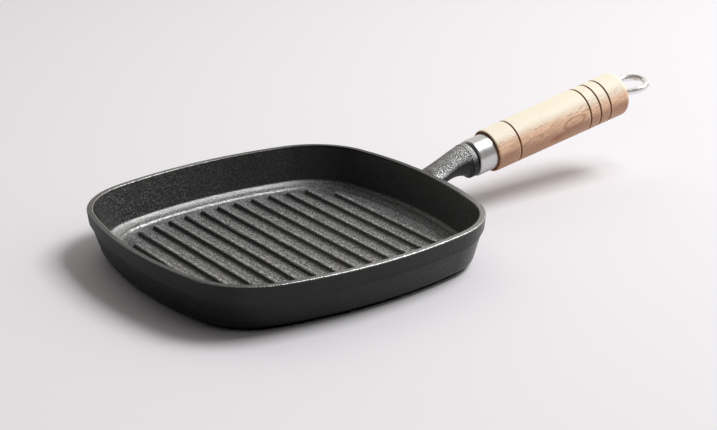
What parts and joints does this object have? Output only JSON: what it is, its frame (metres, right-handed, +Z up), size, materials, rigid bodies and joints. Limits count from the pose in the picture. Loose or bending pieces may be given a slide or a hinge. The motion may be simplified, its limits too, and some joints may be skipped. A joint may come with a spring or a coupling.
{
  "type": "grill pan",
  "caption": "Square cast-iron grill pan with rounded corners, a ribbed floor, a turned wooden handle on a cast stub, a metal ferrule and a wire hanging loop.",
  "frame": {"origin": "centre of the pan's flat underside, on the surface it stands on", "axes": "+X from the pan's centre along the handle, +Y along the ribs, +Z up out of the pan"},
  "size_m": [0.4483, 0.2398, 0.0748],
  "materials": {
    "iron": "fine pebbled, black",
    "ferrule": "polished",
    "wood": "oiled, with burned grooves",
    "rod": "turned",
    "washer": "plain",
    "loop": "polished"
  },
  "bodies": {
    "pan": {"pan_body": "iron", "ferrule": "ferrule", "wood_handle": "wood"},
    "washer": {"end_washer": "washer"},
    "rod": {"tie_rod": "rod", "hanging_loop": "loop"}
  },
  "joints": [
    {"name": "end_travel", "type": "slide", "parent": "pan", "child": "washer", "axis": [0.9866, 0, 0.163], "range_m": [0, 0.01]},
    {"name": "rod_turn", "type": "hinge", "parent": "washer", "child": "rod", "pos_m": [0.28723, 0, 0.05702], "axis": [0.9866, 0, 0.163], "range_deg": [0, 3636]}
  ],
  "couplings": [
    {"joint": "rod_turn", "follows": "end_travel", "rad_per_m": 6283.2}
  ]
}
